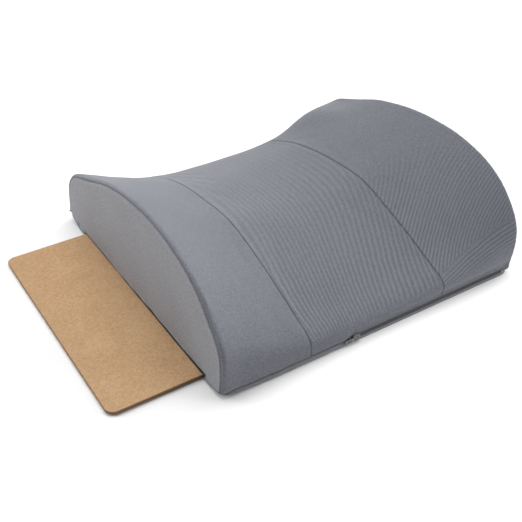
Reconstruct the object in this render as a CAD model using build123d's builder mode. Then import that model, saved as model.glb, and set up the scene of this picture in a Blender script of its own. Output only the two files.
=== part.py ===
from build123d import *
import os

os.makedirs("parts", exist_ok=True)

# A contoured lumbar cushion lying on its flat back, in millimetres.
# X runs from wing to wing, Y from the bottom edge (-) to the top edge (+), Z is the thickness.
# The origin is the centre of the flat back.

# ---------------------------------------------------------------- driving dimensions
WIDTH = 356.0            # 14 in over both side panels
HEIGHT = 330.0           # 13 in from bottom edge to top edge
SEAM_X = 82.0            # the two seams between the three top panels
CLOTH = 1.6              # cover cloth, a knit bonded to thin foam
BACK_CLOTH = 1.2         # plain cloth of the back and its pocket
LINING_CLOTH = 0.8
BACK_CORNER = 3.0        # plan radius of the back panel's corners
BASE_SEAM_Z = 5.0        # the seam that joins the top cover to the back panel
SEAM_GAP = 0.6           # room that the seam thread takes between two cloth edges
FOAM_INSET = 2.3         # foam surface below the outside of the cover
FOAM_BASE_Z = 1.9

BOARD_LENGTH = 305.0     # 12 in
BOARD_WIDTH = 255.0      # 10 in
BOARD_THICK = 3.2        # 1/8 in hardboard
BOARD_RADIUS = 9.0
BOARD_LEFT_X = -270.5    # drawn about 92 mm out of the left side
BOARD_Y = -5.5
BOARD_Z = 1.5

POCKET_HALF = 137.0      # half the mouth of the pocket
POCKET_END_X = 160.0
POCKET_TOP_Z = 5.4
POCKET_FOOT = 6.0        # sewn flange round the pocket lining

ZIP_LEFT_X = -34.0
ZIP_RIGHT_X = 166.0
ZIP_Z = 4.8              # centre line of the chain
ZIP_FACE_Y = -165.0      # outside of the chain
CHAIN_THICK = 1.4
CHAIN_HALF = 2.0
TOOTH_PITCH = 1.6
TOOTH_WIDTH = 0.7
SPINE = 0.8
TAPE = 0.5
TAPE_RISE = 11.0
ZIP_CUT_TOP = 8.0        # cloth edges either side of the chain
ZIP_CUT_LOW = 1.6

SLIDER_LENGTH = 9.0
SLIDER_X = -28.5
RUN_GAP = 0.3            # slider clearance round the chain
SLIDER_PLATE = 1.3
SLIDER_LIP = 0.6
BRIDGE_WIDE = 1.6
BRIDGE_TALL = 1.8
PULL_LENGTH = 15.0
PULL_WIDE = 4.4
PULL_THICK = 0.8

# ---------------------------------------------------------------- the contour
# Each outline is the arch at one station across the cushion: (Y, Z) from the bottom edge,
# over the crest, to the top edge. Its two ends stand nearly square on the back.
WING_ARCH = [
    (-165, 0), (-163, 34), (-151, 67), (-129, 94), (-99, 110), (-39, 121.5),
    (12, 118), (61, 106), (115, 83), (146, 63), (162, 34), (165, 0),
]
SEAM_ARCH = [
    (-165, 0), (-163, 15), (-147, 31), (-109, 48), (-70, 62), (-24, 74),
    (12, 73), (50, 69), (85, 61.5), (125, 47), (157, 25), (165, 0),
]
VALLEY_ARCH = [
    (-165, 0), (-163, 13), (-147, 27), (-109, 41), (-70, 52), (-24, 62),
    (12, 61.5), (50, 58), (85, 52), (125, 40), (157, 22), (165, 0),
]

HALF_W = WIDTH / 2
HALF_H = HEIGHT / 2
SIDE_IN = HALF_W - CLOTH          # inner face of a side panel
SIDE_SEAM = 0.5                   # side seam thread, between side panel and wing panel


def arch_points(arch, inset):
    """The same arch, drawn in by an inset at the crest and at both ends."""
    crest = max(z for _, z in arch)
    y_share = (HALF_H - inset) / HALF_H
    z_share = (crest - inset) / crest
    return [(y * y_share, z * z_share) for y, z in arch]


def arch_sketch(arch, inset, x):
    """The D-shaped section on the plane X = x."""
    points = arch_points(arch, inset)
    with BuildSketch(Plane.YZ.offset(x)) as section:
        with BuildLine():
            Spline(*points)
            Line(points[-1], points[0])
        make_face()
    return section.sketch


def dome(inset, half_width):
    """The saddle-shaped solid: high wings, a valley between them, arched along Y."""
    stations = (
        (-half_width, WING_ARCH),
        (-SEAM_X, SEAM_ARCH),
        (0, VALLEY_ARCH),
        (SEAM_X, SEAM_ARCH),
        (half_width, WING_ARCH),
    )
    sections = [arch_sketch(arch, inset, x).face() for x, arch in stations]
    with BuildPart() as solid:
        loft(sections=sections)
    return solid.part


def slab(x_low, x_high, y_low, y_high, z_low, z_high):
    """A box by its limits, for cutting."""
    with BuildPart() as box:
        with Locations(((x_low + x_high) / 2, (y_low + y_high) / 2, (z_low + z_high) / 2)):
            Box(x_high - x_low, y_high - y_low, z_high - z_low)
    return box.part


def finish(part, name):
    """Label a finished piece and write it."""
    part.label = name
    export_step(part, f"parts/{name}.step")


FAR = 400.0
OUTER = dome(0, SIDE_IN)
LINED = dome(CLOTH, SIDE_IN)
THREAD_OUT = dome(0.4, SIDE_IN)
THREAD_IN = dome(1.2, SIDE_IN)
ABOVE_BASE = BASE_SEAM_Z + SEAM_GAP / 2
BELOW_BASE = BASE_SEAM_Z - SEAM_GAP / 2

# The opening in the cloth round the chain, and the recess behind it for the tapes.
ZIP_MOUTH = slab(ZIP_LEFT_X - 3, ZIP_RIGHT_X + 4, -FAR, -HALF_H + 8, ZIP_CUT_LOW, ZIP_CUT_TOP)
TAPE_RECESS = slab(
    ZIP_LEFT_X - 4.5, ZIP_RIGHT_X + 5.5,
    ZIP_FACE_Y + CHAIN_THICK - 0.1, -HALF_H + 20,
    BACK_CLOTH, ZIP_Z + TAPE_RISE + 0.3,
)


# ---------------------------------------------------------------- foam core
def make_foam_core():
    with BuildPart() as foam_core:
        add(dome(FOAM_INSET, SIDE_IN))
        # ends clear of the hem inside the left side, and the same at the right
        add(slab(-SIDE_IN + 1.4, SIDE_IN - 1.4, -FAR, FAR, 0, FAR), mode=Mode.INTERSECT)
        # flat base, standing on the back panel
        add(slab(-FAR, FAR, -FAR, FAR, -10, FOAM_BASE_Z), mode=Mode.SUBTRACT)
        # shallow rebate that the board pocket lies in
        add(
            slab(
                -FAR, POCKET_END_X + POCKET_FOOT + 1,
                -POCKET_HALF - POCKET_FOOT - 2, POCKET_HALF + POCKET_FOOT + 2,
                0, POCKET_TOP_Z + LINING_CLOTH + 0.3,
            ),
            mode=Mode.SUBTRACT,
        )
        # room for the zipper tapes
        add(
            slab(
                ZIP_LEFT_X - 4.5, ZIP_RIGHT_X + 5.5,
                -FAR, ZIP_FACE_Y + CHAIN_THICK + TAPE + 0.2,
                0, ZIP_Z + TAPE_RISE + 0.3,
            ),
            mode=Mode.SUBTRACT,
        )
    finish(foam_core.part, "foam_core")


# ---------------------------------------------------------------- three panels of the contoured face
def make_top_panel(name, x_low, x_high):
    with BuildPart() as panel:
        add(OUTER)
        add(LINED, mode=Mode.SUBTRACT)
        add(slab(x_low, x_high, -FAR, FAR, ABOVE_BASE, FAR), mode=Mode.INTERSECT)
        add(ZIP_MOUTH, mode=Mode.SUBTRACT)
        add(TAPE_RECESS, mode=Mode.SUBTRACT)
    finish(panel.part, name)


# ---------------------------------------------------------------- side panels
def make_side_panels():
    hem_high = 13.0
    left_outline = arch_sketch(WING_ARCH, 0, -HALF_W)
    right_outline = arch_sketch(WING_ARCH, 0, SIDE_IN)
    with BuildPart() as left_side_panel:
        extrude(left_outline, amount=CLOTH)
        add(slab(-FAR, FAR, -FAR, FAR, -10, ABOVE_BASE), mode=Mode.SUBTRACT)
        # edge of the pocket mouth, turned in for a hem
        add(
            slab(
                -SIDE_IN, -SIDE_IN + 1, -POCKET_HALF, POCKET_HALF,
                POCKET_TOP_Z + LINING_CLOTH + 0.1, hem_high,
            )
        )
    finish(left_side_panel.part, "left_side_panel")

    with BuildPart() as right_side_panel:
        extrude(right_outline, amount=CLOTH)
        add(slab(-FAR, FAR, -FAR, FAR, -10, ABOVE_BASE), mode=Mode.SUBTRACT)
    finish(right_side_panel.part, "right_side_panel")


# ---------------------------------------------------------------- back panel
def make_back_panel():
    with BuildPart() as back_panel:
        with BuildSketch():
            RectangleRounded(WIDTH, HEIGHT, BACK_CORNER)
        extrude(amount=BELOW_BASE)
        # the cloth turns up to the base seam all round
        with BuildSketch(Plane.XY.offset(BACK_CLOTH)):
            RectangleRounded(WIDTH - 2 * CLOTH, HEIGHT - 2 * CLOTH, BACK_CORNER - CLOTH)
        extrude(amount=BASE_SEAM_Z, mode=Mode.SUBTRACT)
        # mouth of the board pocket, in the left side
        add(
            slab(-FAR, -HALF_W + 4, -POCKET_HALF, POCKET_HALF, BACK_CLOTH, FAR),
            mode=Mode.SUBTRACT,
        )
        add(ZIP_MOUTH, mode=Mode.SUBTRACT)
        add(TAPE_RECESS, mode=Mode.SUBTRACT)
    finish(back_panel.part, "back_panel")


# ---------------------------------------------------------------- board pocket and board
def make_pocket_lining():
    roof_top = POCKET_TOP_Z + LINING_CLOTH
    length = POCKET_END_X + SIDE_IN - 0.1
    middle_x = POCKET_END_X - length / 2
    with BuildPart() as pocket_lining:
        # foot sewn to the back panel on three sides
        with BuildSketch(Plane.XY.offset(BACK_CLOTH)):
            with Locations((middle_x + POCKET_FOOT / 2, 0)):
                Rectangle(length + POCKET_FOOT, 2 * (POCKET_HALF + POCKET_FOOT))
        extrude(amount=LINING_CLOTH)
        with BuildSketch(Plane.XY.offset(BACK_CLOTH)):
            with Locations((middle_x, 0)):
                Rectangle(length, 2 * POCKET_HALF)
        extrude(amount=roof_top - BACK_CLOTH)
        # the space for the board, open at the left
        with BuildSketch(Plane.XY.offset(BACK_CLOTH)):
            with Locations((middle_x - LINING_CLOTH, 0)):
                Rectangle(length, 2 * (POCKET_HALF - LINING_CLOTH))
        extrude(amount=POCKET_TOP_Z - BACK_CLOTH, mode=Mode.SUBTRACT)
    finish(pocket_lining.part, "pocket_lining")


def make_board():
    with BuildPart() as board_insert:
        with BuildSketch(Plane.XY.offset(BOARD_Z)):
            with Locations((BOARD_LEFT_X + BOARD_LENGTH / 2, BOARD_Y)):
                RectangleRounded(BOARD_LENGTH, BOARD_WIDTH, BOARD_RADIUS)
        extrude(amount=BOARD_THICK)
        flat_edges = board_insert.edges().filter_by(Axis.Z, reverse=True)
        chamfer(flat_edges, 0.3)
    finish(board_insert.part, "board_insert")


# ---------------------------------------------------------------- zipper in the bottom edge
def make_zip_tapes():
    back_y = ZIP_FACE_Y + CHAIN_THICK
    x_low = ZIP_LEFT_X - 4
    x_high = ZIP_RIGHT_X + 5
    with BuildPart() as upper_tape:
        add(slab(x_low, x_high, back_y, back_y + TAPE, ZIP_Z + 0.1, ZIP_Z + TAPE_RISE))
    finish(upper_tape.part, "zipper_upper_tape")

    with BuildPart() as lower_tape:
        add(slab(x_low, x_high, back_y, back_y + TAPE, BACK_CLOTH, ZIP_Z - 0.1))
        add(slab(x_low, x_high, back_y, back_y + 7.5, BACK_CLOTH, BACK_CLOTH + TAPE))
    finish(lower_tape.part, "zipper_lower_tape")


def make_zip_coil(name, side, first_x):
    """One half of the chain: a spine with teeth that reach past the centre line."""
    count = int((ZIP_RIGHT_X - ZIP_LEFT_X) / TOOTH_PITCH) - 1
    tooth_reach = 2 * CHAIN_HALF - SPINE - 1.1
    spine_z = ZIP_Z + side * (CHAIN_HALF - SPINE / 2)
    tooth_z = ZIP_Z + side * (CHAIN_HALF - SPINE - tooth_reach / 2)
    middle_x = (ZIP_LEFT_X + ZIP_RIGHT_X) / 2
    with BuildPart() as coil:
        with BuildSketch(Plane.XZ.offset(-ZIP_FACE_Y)):
            with Locations((middle_x, spine_z)):
                Rectangle(ZIP_RIGHT_X - ZIP_LEFT_X, SPINE)
            with Locations(*[(first_x + i * TOOTH_PITCH, tooth_z) for i in range(count)]):
                Rectangle(TOOTH_WIDTH, tooth_reach)
        extrude(amount=-CHAIN_THICK)
    finish(coil.part, name)


def make_zip_stops():
    stop_y = (ZIP_FACE_Y - 0.2, ZIP_FACE_Y + CHAIN_THICK)
    with BuildPart() as top_stop:
        for side in (-1, 1):
            z_near = ZIP_Z + side * 0.3
            z_far = ZIP_Z + side * 1.8
            add(slab(ZIP_LEFT_X - 2.5, ZIP_LEFT_X - 0.3, *stop_y, min(z_near, z_far), max(z_near, z_far)))
    finish(top_stop.part, "zipper_top_stop")

    with BuildPart() as bottom_stop:
        add(slab(ZIP_RIGHT_X + 0.3, ZIP_RIGHT_X + 3.3, *stop_y, ZIP_Z - 1.8, ZIP_Z + 1.8))
        fillet(bottom_stop.edges().filter_by(Axis.Y), 0.6)
    finish(bottom_stop.part, "zipper_bottom_stop")


def make_slider():
    plate_in = ZIP_FACE_Y - RUN_GAP
    plate_out = plate_in - SLIDER_PLATE
    lip_in = CHAIN_HALF + RUN_GAP
    nose = SLIDER_X - SLIDER_LENGTH / 2
    tail = SLIDER_X + SLIDER_LENGTH / 2
    half_tall = lip_in + SLIDER_LIP
    with BuildPart() as zipper_slider:
        add(slab(nose, tail, plate_out, plate_in, ZIP_Z - half_tall, ZIP_Z + half_tall))
        fillet(zipper_slider.edges().filter_by(Axis.Y), 1.6)
        # lips that run along the outside of the chain
        for z_low in (ZIP_Z + lip_in, ZIP_Z - half_tall):
            add(slab(nose + 1.6, tail - 1.6, plate_in, plate_in + 0.9, z_low, z_low + SLIDER_LIP))
        # bridge that holds the pull
        bridge_low = ZIP_Z - BRIDGE_WIDE / 2
        bridge_high = ZIP_Z + BRIDGE_WIDE / 2
        add(slab(SLIDER_X - 2.5, SLIDER_X + 2.5, plate_out - BRIDGE_TALL, plate_out, bridge_low, bridge_high))
        add(
            slab(SLIDER_X - 1.5, SLIDER_X + 1.5, plate_out - BRIDGE_TALL + 0.6, plate_out, bridge_low, bridge_high),
            mode=Mode.SUBTRACT,
        )
    finish(zipper_slider.part, "zipper_slider")


def make_pull():
    pivot_y = ZIP_FACE_Y - RUN_GAP - SLIDER_PLATE - 0.6
    head = 0.45
    arm = 0.9
    with BuildPart() as zipper_pull:
        with BuildSketch(Plane.XZ.offset(-pivot_y - PULL_THICK / 2)) as outline:
            with Locations((SLIDER_X + head - PULL_LENGTH / 2, ZIP_Z)):
                Rectangle(PULL_LENGTH, PULL_WIDE)
            fillet(outline.vertices(), 0.4)
            # window that the bridge stands in
            with Locations((SLIDER_X - head - 1.7, ZIP_Z)):
                Rectangle(3.4, PULL_WIDE - 2 * arm, mode=Mode.SUBTRACT)
            # grip hole
            with Locations((SLIDER_X - 9.5, ZIP_Z)):
                SlotOverall(5.0, 1.6, mode=Mode.SUBTRACT)
        extrude(amount=PULL_THICK)
    finish(zipper_pull.part, "zipper_pull")


# ---------------------------------------------------------------- threads
def make_arch_thread(name, x_low, x_high):
    """The thread of a seam that runs over the arch, laid between two cloth edges."""
    with BuildPart() as thread:
        add(THREAD_OUT)
        add(THREAD_IN, mode=Mode.SUBTRACT)
        add(slab(x_low, x_high, -FAR, FAR, ABOVE_BASE, FAR), mode=Mode.INTERSECT)
        # a seam that comes down over the zipper ends above its tape
        if ZIP_LEFT_X < x_low < ZIP_RIGHT_X:
            add(slab(x_low, x_high, -FAR, 0, 0, ZIP_Z + TAPE_RISE + 0.5), mode=Mode.SUBTRACT)
    finish(thread.part, name)


def make_base_thread():
    with BuildPart() as base_seam_thread:
        with BuildSketch(Plane.XY.offset(BELOW_BASE)):
            RectangleRounded(WIDTH - 0.8, HEIGHT - 0.8, BACK_CORNER - 0.4)
            RectangleRounded(WIDTH - 2.4, HEIGHT - 2.4, BACK_CORNER - 1.2, mode=Mode.SUBTRACT)
        extrude(amount=SEAM_GAP)
        add(slab(-FAR, -HALF_W + 4, -POCKET_HALF, POCKET_HALF, 0, FAR), mode=Mode.SUBTRACT)
        add(slab(ZIP_LEFT_X - 4.5, ZIP_RIGHT_X + 5.5, -FAR, -HALF_H + 4, 0, FAR), mode=Mode.SUBTRACT)
    finish(base_seam_thread.part, "base_seam_thread")


def spaced(low, high, pitch):
    """Stitch centres from low to high."""
    count = int((high - low) / pitch)
    start = (low + high - (count - 1) * pitch) / 2
    return [start + i * pitch for i in range(count)]


def make_pocket_thread():
    stitch = 4.0
    pitch = 6.0
    wide = 0.6
    row_y = POCKET_HALF + POCKET_FOOT / 2
    row_x = POCKET_END_X + POCKET_FOOT / 2
    with BuildPart() as pocket_seam_thread:
        with BuildSketch(Plane.XY.offset(BACK_CLOTH + LINING_CLOTH)):
            for y in (-row_y, row_y):
                with Locations(*[(x, y) for x in spaced(-SIDE_IN + 4, row_x - 3, pitch)]):
                    Rectangle(stitch, wide)
            with Locations(*[(row_x, y) for y in spaced(-row_y + 3, row_y - 3, pitch)]):
                Rectangle(wide, stitch)
        extrude(amount=0.25)
    finish(pocket_seam_thread.part, "pocket_seam_thread")


def make_slot_thread():
    """Blind stitches of the mouth's hem, and a bar tack at each end of the mouth."""
    hem_row_z = 10.5
    with BuildPart() as slot_hem_thread:
        with BuildSketch(Plane.YZ.offset(-SIDE_IN + 1)):
            with Locations(*[(y, hem_row_z) for y in spaced(-POCKET_HALF + 3, POCKET_HALF - 3, 6.0)]):
                Rectangle(4.0, 0.6)
        extrude(amount=0.25)
        with BuildSketch(Plane.YZ.offset(-HALF_W)):
            with Locations((-POCKET_HALF - 2, 8.5), (POCKET_HALF + 2, 8.5)):
                RectangleRounded(1.8, 6.0, 0.6)
        extrude(amount=-0.3)
    finish(slot_hem_thread.part, "slot_hem_thread")


def make_zip_thread():
    """Row of stitches that holds the upper tape behind the cloth."""
    with BuildPart() as zipper_tape_thread:
        with BuildSketch(Plane.XZ.offset(-ZIP_FACE_Y + 0.1)):
            with Locations(*[(x, ZIP_CUT_TOP + 1.8) for x in spaced(ZIP_LEFT_X, ZIP_RIGHT_X, 4.0)]):
                Rectangle(2.8, 0.5)
        extrude(amount=-0.9)
    finish(zipper_tape_thread.part, "zipper_tape_thread")


def make_care_label():
    """A blank folded label, sewn flat inside the zipped edge."""
    with BuildPart() as care_label:
        add(slab(45, 95, -HALF_H + 9.5, -POCKET_HALF - POCKET_FOOT - 0.5, BACK_CLOTH, BACK_CLOTH + 0.4))
    finish(care_label.part, "care_label")


# ---------------------------------------------------------------- build every piece
make_foam_core()
make_top_panel("left_wing_panel", -SIDE_IN + SIDE_SEAM, -SEAM_X - SEAM_GAP / 2)
make_top_panel("centre_panel", -SEAM_X + SEAM_GAP / 2, SEAM_X - SEAM_GAP / 2)
make_top_panel("right_wing_panel", SEAM_X + SEAM_GAP / 2, SIDE_IN - SIDE_SEAM)
make_side_panels()
make_back_panel()
make_pocket_lining()
make_board()
make_zip_tapes()
make_zip_coil("zipper_upper_coil", 1, ZIP_LEFT_X + 1.0)
make_zip_coil("zipper_lower_coil", -1, ZIP_LEFT_X + 1.0 + TOOTH_PITCH / 2)
make_zip_stops()
make_slider()
make_pull()
make_arch_thread("left_panel_seam_thread", -SEAM_X - SEAM_GAP / 2, -SEAM_X + SEAM_GAP / 2)
make_arch_thread("right_panel_seam_thread", SEAM_X - SEAM_GAP / 2, SEAM_X + SEAM_GAP / 2)
make_arch_thread("left_side_seam_thread", -SIDE_IN, -SIDE_IN + SIDE_SEAM)
make_arch_thread("right_side_seam_thread", SIDE_IN - SIDE_SEAM, SIDE_IN)
make_base_thread()
make_pocket_thread()
make_slot_thread()
make_zip_thread()
make_care_label()
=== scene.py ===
"""Looks of the contoured lumbar cushion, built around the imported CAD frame.

Geometry is in millimetres until a mesh is made.
"""

import math

import bpy
import numpy as np
from mathutils import Matrix, Vector


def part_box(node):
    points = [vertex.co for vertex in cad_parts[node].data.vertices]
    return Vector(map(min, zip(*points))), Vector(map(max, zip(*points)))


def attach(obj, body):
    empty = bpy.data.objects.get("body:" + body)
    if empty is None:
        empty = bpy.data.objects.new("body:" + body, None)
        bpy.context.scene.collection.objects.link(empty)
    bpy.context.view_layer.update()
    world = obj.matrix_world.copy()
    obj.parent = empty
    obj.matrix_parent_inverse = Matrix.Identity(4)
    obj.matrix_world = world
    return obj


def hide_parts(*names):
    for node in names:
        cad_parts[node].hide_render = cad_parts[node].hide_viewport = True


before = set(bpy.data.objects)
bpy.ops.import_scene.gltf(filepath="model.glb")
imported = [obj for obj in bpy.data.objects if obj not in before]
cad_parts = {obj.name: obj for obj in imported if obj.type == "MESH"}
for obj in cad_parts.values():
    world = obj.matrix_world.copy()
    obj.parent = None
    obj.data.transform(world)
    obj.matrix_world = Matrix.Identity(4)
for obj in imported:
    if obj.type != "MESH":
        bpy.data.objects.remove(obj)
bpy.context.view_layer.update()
MM = 0.001

# -------- sizes read from the frame


def box_mm(node):
    low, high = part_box(node)
    return np.array(low) / MM, np.array(high) / MM


HALF_W, HALF_H, _ = box_mm("back_panel")[1]
SEAM_X = box_mm("centre_panel")[1][0] + 0.3
BOARD_LOW, BOARD_HIGH = box_mm("board_insert")
POCKET_END, POCKET_HALF, ROOF_Z = box_mm("pocket_lining")[1] - (6.0, 6.0, 0)
ZIP_LOW, ZIP_HIGH = box_mm("zipper_lower_coil")[0], box_mm("zipper_upper_coil")[1]
ZIP_Z = (ZIP_LOW[2] + ZIP_HIGH[2]) / 2
CHAIN_Y = -HALF_H + 0.7  # the middle of the zipper's coils
SLIDER_LOW, SLIDER_HIGH = box_mm("zipper_slider")
PULL_LOW, PULL_HIGH = box_mm("zipper_pull")
MIDDLE = np.array([0, 0, 20.0])

CLOTH = 1.4
BASE_Z = 5.2       # the seam between the top cover and the back
CORNER_DROP = 3.6  # how far that seam runs down at the corners beside the board
BACK_CORNER = 8.0
BOARD_CORNER = 9.0
FOAM_GAP = 3.4     # from the cover's face down to the foam
ROW_GAP = 3.0      # from the pocket's edge to the row of stitches round it
ZIP_EASE = 7.0     # how gently the edge opens for the zipper's chain
TACK_STITCHES = 13
# how softly a wing rolls over into its side: at the crest, at the near foot and at the far foot
ROLLS = {-1: (6.5, 3.6, 3.5), 1: (3.8, 3.6, 4.0)}
SEAM_ANGLE = math.radians(70)

WING_ARCH = [
    (-165, 0), (-166.2, 24), (-165.9, 44), (-161.5, 57.5), (-150, 72), (-129, 93.5), (-99, 110),
    (-39, 121.5), (12, 118), (61, 106), (115, 84), (149.5, 67), (165.2, 40), (165, 0),
]
RIGHT_ARCH = [
    (-165, 0), (-166.8, 18), (-167.8, 36), (-166.2, 51), (-160.5, 66), (-141, 91), (-102, 113.5),
    (-39, 123), (12, 119), (61, 107), (115, 85), (144, 70), (158, 52.5), (164.8, 28), (165, 0),
]
SEAM_ARCH = [
    (-165, 0), (-165.5, 10), (-165, 18.5), (-160, 25.5), (-148, 31.5), (-109, 48), (-70, 62),
    (-24, 74), (12, 73), (50, 69), (85, 61.5), (125, 47), (157, 25), (165, 0),
]
VALLEY_ARCH = [
    (-165, 0), (-165.5, 8), (-165, 15.5), (-160, 22), (-148, 27.5), (-109, 41), (-70, 52),
    (-24, 62), (12, 61.5), (50, 58), (85, 52), (125, 40), (157, 22), (165, 0),
]
STATIONS = np.array([-HALF_W, -SEAM_X, 0.0, SEAM_X, HALF_W])


# -------- curves and grids
def smooth(x):
    x = np.clip(x, 0, 1)
    return x * x * (3 - 2 * x)


def unit(v):
    return v / np.linalg.norm(v, axis=-1, keepdims=True)


def run_of(points):
    """Length along a flat line from its start."""
    return np.r_[0, np.cumsum(np.hypot(*np.diff(points, axis=0).T))]


def out_of(outline):
    """Directions square to a closed flat outline, away from what it goes round."""
    ahead = np.roll(outline, -1, 0) - np.roll(outline, 1, 0)
    return unit(np.stack([ahead[:, 1], -ahead[:, 0]], -1))


def spline_bends(knots, values):
    """Second derivatives of the natural cubic spline through values at knots."""
    n, h = len(knots), np.diff(knots)
    a, rhs = np.eye(n), np.zeros_like(values)
    for i in range(1, n - 1):
        a[i, i - 1:i + 2] = h[i - 1], 2 * (h[i - 1] + h[i]), h[i]
        after, before = values[i + 1] - values[i], values[i] - values[i - 1]
        rhs[i] = 6 * (after / h[i] - before / h[i - 1])
    return np.linalg.solve(a, rhs.reshape(n, -1)).reshape(values.shape)


def spline_mix(knots, at):
    """Interval and the four weights that a cubic spline needs at each place."""
    k = np.clip(np.searchsorted(knots, at) - 1, 0, len(knots) - 2)
    h = knots[k + 1] - knots[k]
    b = (at - knots[k]) / h
    a = 1 - b
    return k, a, b, (a ** 3 - a) * h * h / 6, (b ** 3 - b) * h * h / 6


def spline(knots, values, at):
    knots, values, at = (np.asarray(v, float) for v in (knots, values, at))
    bends = spline_bends(knots, values)
    k, a, b, c, d = spline_mix(knots, at)
    grow = (slice(None),) + (None,) * (values.ndim - 1)
    straight = a[grow] * values[k] + b[grow] * values[k + 1]
    return straight + c[grow] * bends[k] + d[grow] * bends[k + 1]


def arch_at(arch, t):
    """(Y, Z) at the shares t of the arch's length, from base seam to base seam."""
    points = np.array(arch, float)
    knots = run_of(points)
    fine = spline(knots, points, np.linspace(0, knots[-1], 2400))
    fine = fine[fine[:, 1] >= BASE_Z]
    run = run_of(fine)
    return np.stack([np.interp(t * run[-1], run, fine[:, i]) for i in (0, 1)], -1)


def fullness(x, y, z):
    """The right wing is stuffed a little fuller over its far shoulder."""
    middle = 9.5 * np.exp(-((x - 136) / 28) ** 2 - ((y - 134) / 45) ** 2)
    corner = 5.0 * np.exp(-((x - HALF_W) / 15) ** 2 - ((y - 160) / 24) ** 2)
    return (middle - corner) * np.clip(z / 40, 0, 1)


def saddle(x, t):
    """Points of the filled cover for x of shape (m, n) and t of shape (n,)."""
    arches = (WING_ARCH, SEAM_ARCH, VALLEY_ARCH, SEAM_ARCH, RIGHT_ARCH)
    values = np.stack([arch_at(a, t) for a in arches])
    bends = spline_bends(STATIONS, values)
    k, a, b, c, d = spline_mix(STATIONS, x)
    j = np.broadcast_to(np.arange(len(t)), x.shape)
    mix = a[..., None] * values[k, j] + b[..., None] * values[k + 1, j]
    mix = mix + c[..., None] * bends[k, j] + d[..., None] * bends[k + 1, j]
    mix[..., 1] += fullness(x, mix[..., 0], mix[..., 1])
    return np.concatenate([x[..., None], mix], -1)


def roll_radius(t, side):
    y, z = arch_at(WING_ARCH if side < 0 else RIGHT_ARCH, t).T
    crest, near, far = ROLLS[side]
    foot = np.where(y < 0, near, far)
    return foot + (crest - foot) * smooth(z / 60)


def cover_grid(columns, t):
    """The cover as a grid.

    A column c runs -3..3: panel seams at +-1, start of the roll at +-2, side seams at +-3,
    and on to 3.29 where the side is flat.
    """
    c = np.asarray(columns, float)[:, None]
    far, side = np.abs(c), np.sign(c)
    radius = np.where(side < 0, roll_radius(t, -1)[None], roll_radius(t, 1)[None])
    angle = np.clip(far - 2, 0, 2) * SEAM_ANGLE
    wing = SEAM_X + (np.clip(far, 1, 2) - 1) * (HALF_W - radius - SEAM_X)
    reach = np.where(far <= 1, SEAM_X * far, wing)
    x = side * (reach + radius * np.sin(angle))
    points = saddle(x, t)
    along = unit(np.gradient(points[..., 1:], axis=1))
    drop = radius * (1 - np.cos(angle))
    points[..., 1] += drop * along[..., 1]
    points[..., 2] -= drop * along[..., 0]
    return points


def mouth_share(y):
    """1 along the board pocket's mouth, 0 past its ends."""
    return smooth((np.where(y < 0, POCKET_HALF + 3, BOARD_HIGH[1] + 6) - np.abs(y)) / 5)


def chain_share(x):
    """1 along the zipper's chain, 0 past its ends."""
    opening = smooth((x - (ZIP_LOW[0] - ZIP_EASE)) / ZIP_EASE)
    return opening * smooth((ZIP_HIGH[0] + 9 - x) / ZIP_EASE)


def seam_drop(x, y):
    """How far the seam round the base runs below BASE_Z, nearly to the floor at the corners."""
    left = CORNER_DROP * (1 - smooth((x + HALF_W) / 75))
    right = 2.2 * (1 - smooth((HALF_W - x) / 12))
    return np.where(y < 0, left + right, CORNER_DROP * (1 - smooth((x + HALF_W) / 30)))


def corner_lift(points):
    """The soft corners beside the board stand a little off the table."""
    x, y, z = points[..., 0], points[..., 1], points[..., 2]
    ends = np.exp(-((y + HALF_H) / 26) ** 2) + 2.0 * np.exp(-((y - HALF_H) / 20) ** 2)
    rise = 4.8 * np.exp(-((x + HALF_W) / 38) ** 2) * ends * np.exp(-z / 30)
    return np.concatenate([points[..., :2], (z + rise)[..., None]], -1)


def side_low_edge(y, side):
    """Height of the side panel's lower edge. Over the board it lifts off near the zipped end."""
    if side > 0:
        return BASE_Z - np.where(y < 0, 2.2 * smooth((-y - 60) / 80), 0)
    wave = 0.45 * np.sin(y / 17.0 + 0.7) + 0.3 * np.sin(y / 7.3)
    lift = 0.3 + 1.7 * smooth((25 - y) / 60)
    lift = lift + 0.8 * wave * smooth((60 - np.abs(y - 25)) / 50) + 0.25 * wave
    return BASE_Z - CORNER_DROP * (1 - mouth_share(y)) + mouth_share(y) * lift


def side_grid(side, t, rows):
    """A side panel: three rows round the roll, then flat rows at the shares down to the base."""
    rim = cover_grid(side * (2 + np.radians([70, 80, 90]) / SEAM_ANGLE), t)
    top = rim[-1].copy()
    y_top = np.maximum.accumulate(top[:, 1])
    y_even = y_top[0] + (y_top[-1] - y_top[0]) * t
    y_base = 0.6 * y_top + 0.4 * y_even
    z_base = np.minimum(side_low_edge(y_base, side), np.maximum(top[:, 2], BASE_Z))
    base = np.stack([top[:, 0], y_base, z_base], -1)
    share = np.asarray(rows, float)[1:, None, None]
    flat = top[None] * (1 - share) + base[None] * share
    flat[..., 0] = side * HALF_W
    return np.concatenate([rim, flat])


def normals_of(grid):
    n = np.cross(np.gradient(grid, axis=0), np.gradient(grid, axis=1))
    n /= np.maximum(np.linalg.norm(n, axis=-1, keepdims=True), 1e-9)
    return n if np.sum(n * (grid - MIDDLE)) > 0 else -n


def round_rect(x_low, x_high, z_low, z_high, radii, count=8):
    """An outline with a radius for each corner: low-low, high-low, high-high, low-high."""
    out = []
    corners = ((x_low, z_low, 180), (x_high, z_low, 270), (x_high, z_high, 0), (x_low, z_high, 90))
    for (x, z, start), r in zip(corners, radii):
        cx = x + r if x == x_low else x - r
        cz = z + r if z == z_low else z - r
        for a in np.radians(np.linspace(start, start + 90, count)):
            out.append((cx + r * math.cos(a), cz + r * math.sin(a)))
    return out


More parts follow.
